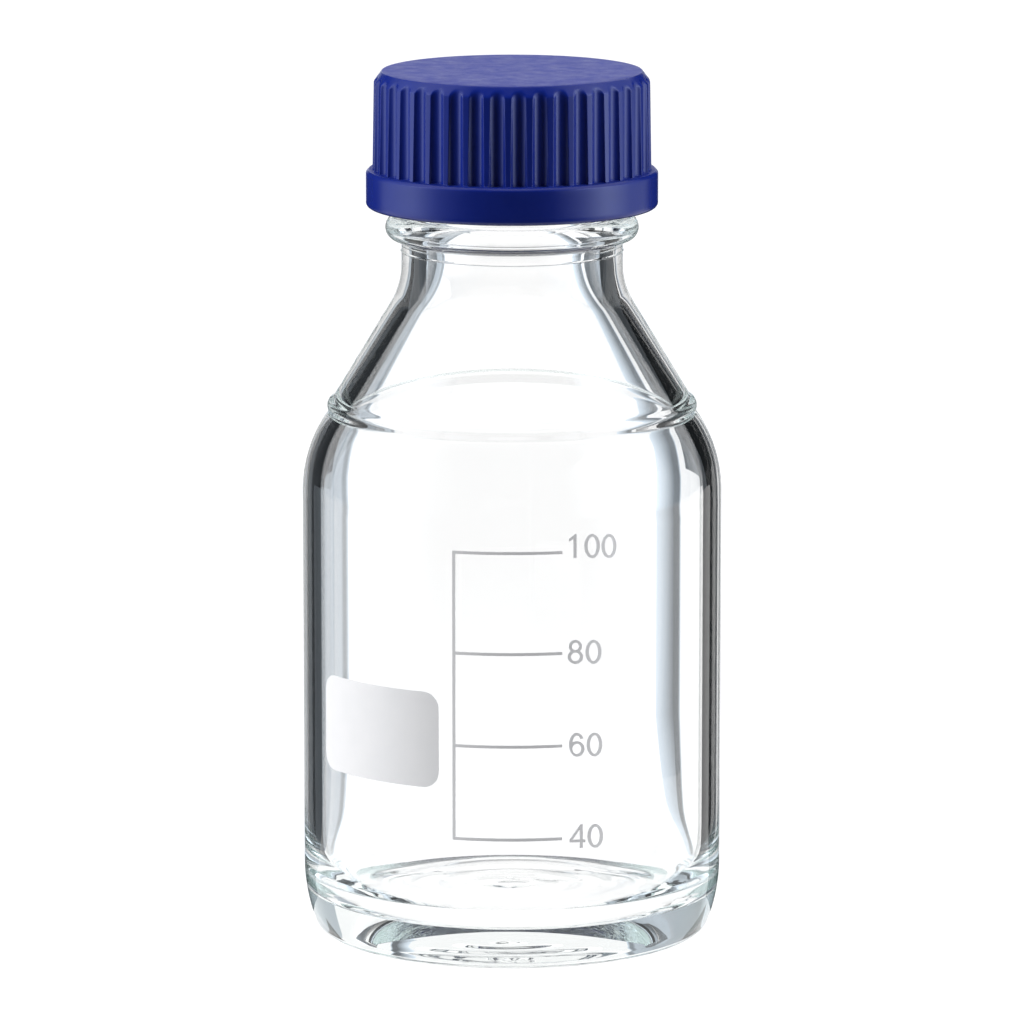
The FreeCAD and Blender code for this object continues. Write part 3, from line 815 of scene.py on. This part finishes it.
# Reach of the front table's rows, and how bright each is at least
TABLE_ROWS = [(0.1, 1.0), (0.22, 0), (0.9, 0)]
FRONT_WALL_TOP = 2.6
LAMP_AIM = Vector((0, 0, 0.06))

# Height and half width of the bottle, for the dark strips beside its edges
SILHOUETTE = [
    (0.0, 0.0265),
    (0.009, 0.028),
    (0.06, 0.028),
    (0.0705, 0.0246),
    (0.085, 0.0163),
    (0.09, 0.0149),
    (0.0965, 0.0149),
    (0.098, 0.0195),
    (0.12, 0.0195),
]

# The cards on one side: (x, level) of the flag far behind, level of the strip beside the edge, reach of
# the neck flag, and (y, level) of the softbox
SideCards = namedtuple("SideCards", "name side flag edge_level neck_flag softbox")
LEFT_CARDS = SideCards(
    name="left",
    side=-1,
    flag=[
        (-0.044, 1.0),
        (-0.046, 0.3),
        (-0.048, 0.3),
        (-0.05, 0.6),
        (-0.07, 0.5),
        (-0.16, 0.3),
        (-0.25, 1.0),
    ],
    edge_level=0.03,
    neck_flag=(0.062, 0.222),
    softbox=[(-0.45, 0.02), (-0.173, 0.5), (-0.042, 2.1), (0.11, 0.8), (0.22, 0.5), (0.3, 0.5)],
)
RIGHT_CARDS = SideCards(
    name="right",
    side=1,
    flag=[(0.034, 1.0), (0.043, 0.12), (0.0465, 0.12), (0.048, 1.0)],
    edge_level=0.01,
    neck_flag=(0.053, 0.165),
    softbox=[(-0.45, 0.1), (-0.2, 1.2), (-0.064, 3.2), (0.075, 0.75), (0.22, 0.5), (0.3, 0.5)],
)


def card_light():
    """Light of the cards, as strong at each corner as the corner's level says."""
    made, tree = bare_material("bluish_card")
    level = add_node(tree, "ShaderNodeAttribute", attribute_name="level")
    light = add_node(tree, "ShaderNodeEmission", Color=(*CARD_COLOUR, 1))
    out = add_node(tree, "ShaderNodeOutputMaterial")
    tree.links.new(level.outputs["Fac"], light.inputs["Strength"])
    tree.links.new(light.outputs[0], out.inputs["Surface"])
    return made


def card(name, rows, light):
    """A card of rows of (x, y, z, level) points, which only mirrored and refracted rays meet."""
    columns = len(rows[0])
    points = [point for row in rows for point in row]
    faces = []
    for row in range(len(rows) - 1):
        for column in range(columns - 1):
            corner = row * columns + column
            faces.append((corner, corner + 1, corner + columns + 1, corner + columns))
    mesh = bpy.data.meshes.new(name)
    mesh.from_pydata([point[:3] for point in points], [], faces)
    level = mesh.attributes.new("level", "FLOAT", "POINT")
    level.data.foreach_set("value", [point[3] for point in points])
    mesh.materials.append(light)
    piece = add_object(name, mesh)
    piece.visible_camera = False
    piece.visible_diffuse = False
    piece.visible_shadow = False
    return piece


def upright_card(name, line, low, high, light):
    """An upright card above a line of (x, y, level) points on the floor."""
    return card(name, [[(x, y, z, level) for x, y, level in line] for z in (low, high)], light)


def floor_card(name, lines, light):
    """A card on the floor between lines of (x, y, level) points."""
    return card(name, [[(x, y, CARD_LIFT, level) for x, y, level in line] for line in lines], light)


def side_cards(form, light):
    """The flag, edge strip, softbox and neck flag on one side of the bottle."""
    name, side = form.name, form.side
    far = [(x, FLAG_Y, level) for x, level in form.flag]
    near = []
    for index, (_, level) in enumerate(form.flag):
        near.append((side * (FOOT_X + FOOT_STEP * index), FOOT_Y, level))
    strip = []
    for width in (0, EDGE_WIDTH):
        strip.append([(side * (r + EDGE_GAP + width), EDGE_Y, z, form.edge_level) for z, r in SILHOUETTE])
    softbox = [(side * SOFTBOX_X, y, level) for y, level in form.softbox]
    neck = [(side * x, NECK_FLAG_Y, NECK_FLAG_LEVEL) for x in form.neck_flag]
    return [
        upright_card(f"{name}_flag", far, 0, FLAG_TOP, light),
        floor_card(f"{name}_flag_foot", [near, far], light),
        card(f"{name}_edge_strip", strip, light),
        upright_card(f"{name}_softbox", softbox, SOFTBOX_BOTTOM, SOFTBOX_TOP, light),
        upright_card(f"{name}_neck_flag", neck, NECK_FLAG_BOTTOM, NECK_FLAG_TOP, light),
    ]


def front_cards(light):
    """A dark table and wall round the front, which pale towards the sides."""
    ring = []
    for degrees in range(-75, 76, 5):
        angle = math.radians(degrees)
        shade = DARK + (1 - DARK) * float(smooth_step((abs(degrees) - 45) / 30))
        ring.append((math.sin(angle), -math.cos(angle), shade))
    rows = []
    for reach, least in TABLE_ROWS:
        rows.append([(reach * x, reach * y, max(shade, least)) for x, y, shade in ring])
    return [
        floor_card("front_table", rows, light),
        upright_card("front_wall", rows[-1], 0, FRONT_WALL_TOP, light),
    ]


def face_viewer(cards, viewer):
    """Stands the cards round the bottle, turned about its axis with the side it is seen from."""
    stand = add_object("card_stand", None)
    facing = stand.constraints.new("LOCKED_TRACK")
    facing.target = viewer
    facing.track_axis = "TRACK_NEGATIVE_Y"
    facing.lock_axis = "LOCK_Z"
    for piece in cards:
        piece.parent = stand


def camera():
    data = bpy.data.cameras.new("camera")
    data.sensor_width = 36.0
    data.lens = 249.1
    made = add_object("camera", data)
    made.location = (0, -0.93197, 0.23116)
    made.rotation_euler = Euler((math.radians(79.391), 0, 0))
    bpy.context.scene.camera = made
    return made


def seen_rays(tree):
    """1 for rays seen straight, mirrored or through glass, 0 for rays that light things."""
    path = add_node(tree, "ShaderNodeLightPath")
    first = add_node(tree, "ShaderNodeMath", operation="MAXIMUM")
    second = add_node(tree, "ShaderNodeMath", operation="MAXIMUM")
    tree.links.new(path.outputs["Is Camera Ray"], first.inputs[0])
    tree.links.new(path.outputs["Is Glossy Ray"], first.inputs[1])
    tree.links.new(first.outputs[0], second.inputs[0])
    tree.links.new(path.outputs["Is Transmission Ray"], second.inputs[1])
    return second.outputs[0]


def world(ambient):
    """White surroundings, which light things only a little."""
    made = bpy.data.worlds.new("studio")
    made.use_nodes = True
    tree = made.node_tree
    background = tree.nodes["Background"]
    background.inputs["Color"].default_value = (1, 1, 1, 1)
    strength = add_node(tree, "ShaderNodeMapRange")
    strength.inputs["To Min"].default_value = ambient
    strength.inputs["To Max"].default_value = 1.0
    tree.links.new(seen_rays(tree), strength.inputs["Value"])
    tree.links.new(strength.outputs["Result"], background.inputs["Strength"])
    bpy.context.scene.world = made


def floor(colour, lift):
    """Pale floor. What the camera sees of it is lifted to white, less the object's shadow."""
    half = 6.0
    corners = [(-half, -half, 0), (half, -half, 0), (half, half, 0), (-half, half, 0)]
    mesh = bpy.data.meshes.new("floor")
    mesh.from_pydata(corners, [], [(0, 1, 2, 3)])
    made = add_object("floor", mesh)
    made.location.z = -0.00002
    paint, tree = bare_material("floor")
    matt = add_node(tree, "ShaderNodeBsdfDiffuse", Color=(colour, colour, colour, 1))
    glow = add_node(tree, "ShaderNodeEmission")
    strength = add_node(tree, "ShaderNodeMath", operation="MULTIPLY")
    strength.inputs[1].default_value = lift
    total = add_node(tree, "ShaderNodeAddShader")
    out = add_node(tree, "ShaderNodeOutputMaterial")
    tree.links.new(seen_rays(tree), strength.inputs[0])
    tree.links.new(strength.outputs[0], glow.inputs["Strength"])
    tree.links.new(matt.outputs[0], total.inputs[0])
    tree.links.new(glow.outputs[0], total.inputs[1])
    tree.links.new(total.outputs[0], out.inputs["Surface"])
    mesh.materials.append(paint)


def area_light(name, place, width, power):
    """A square lamp that is aimed at the bottle and shows neither in the glass nor to the camera."""
    data = bpy.data.lights.new(name, "AREA")
    data.size = width
    data.energy = power
    made = add_object(name, data)
    made.location = place
    made.rotation_euler = (LAMP_AIM - Vector(place)).to_track_quat("-Z", "Y").to_euler()
    made.visible_glossy = False
    made.visible_transmission = False
    made.visible_camera = False


# Assembly

view_camera = camera()

glass = glass_bottle()
glass.data.materials.append(clear_glass())
glass.visible_diffuse = False
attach(glass, "bottle")
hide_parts("glass_bottle")

ring = pouring_ring()
ring.data.materials.append(plastic("ring_plastic", (0.02, 0.035, 0.25), (0.025, 0.045, 0.3), 0.3, 0.1))
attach(ring, "bottle")
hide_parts("pouring_ring")

seal = seal_disc()
seal.data.materials.append(plastic("seal_rubber", (0.68, 0.67, 0.64), (0.75, 0.74, 0.71), 0.5, 0.2))
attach(seal, "seal")
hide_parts("seal_disc")

cap = screw_cap()
cap.data.materials.append(cap_plastic())
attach(cap, "cap")
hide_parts("screw_cap")

ENAMEL = ((0.84, 0.85, 0.87), (0.9, 0.9, 0.92), 0.3, 0.1)
panel_enamel = plastic("panel_enamel", *ENAMEL)
scale_enamel = plastic("scale_enamel", *ENAMEL)

label = label_panel()
label.data.materials.append(panel_enamel)
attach(label, "bottle")
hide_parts("label_panel")

scale = graduation_scale()
scale.data.materials.append(scale_enamel)
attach(scale, "bottle")
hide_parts("graduation_scale")

for text in FIGURES:
    figure = scale_figure(text)
    figure.data.materials.append(scale_enamel)
    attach(figure, "bottle")

# Light

world(0.06)
floor(0.22, 0.86)
area_light("left_light", (-2.7, -0.38, 1.3), 1.8, 114.0)
area_light("right_light", (2.7, -0.38, 1.3), 1.8, 90.0)
area_light("top_light", (0, 0.5, 3.2), 1.2, 35.0)
bluish = card_light()
cards = side_cards(LEFT_CARDS, bluish) + side_cards(RIGHT_CARDS, bluish) + front_cards(bluish)
face_viewer(cards, view_camera)

scene = bpy.context.scene
scene.view_settings.view_transform = "Standard"
scene.cycles.max_bounces = 128
scene.cycles.transmission_bounces = 128
scene.cycles.glossy_bounces = 128
scene.cycles.transparent_max_bounces = 32
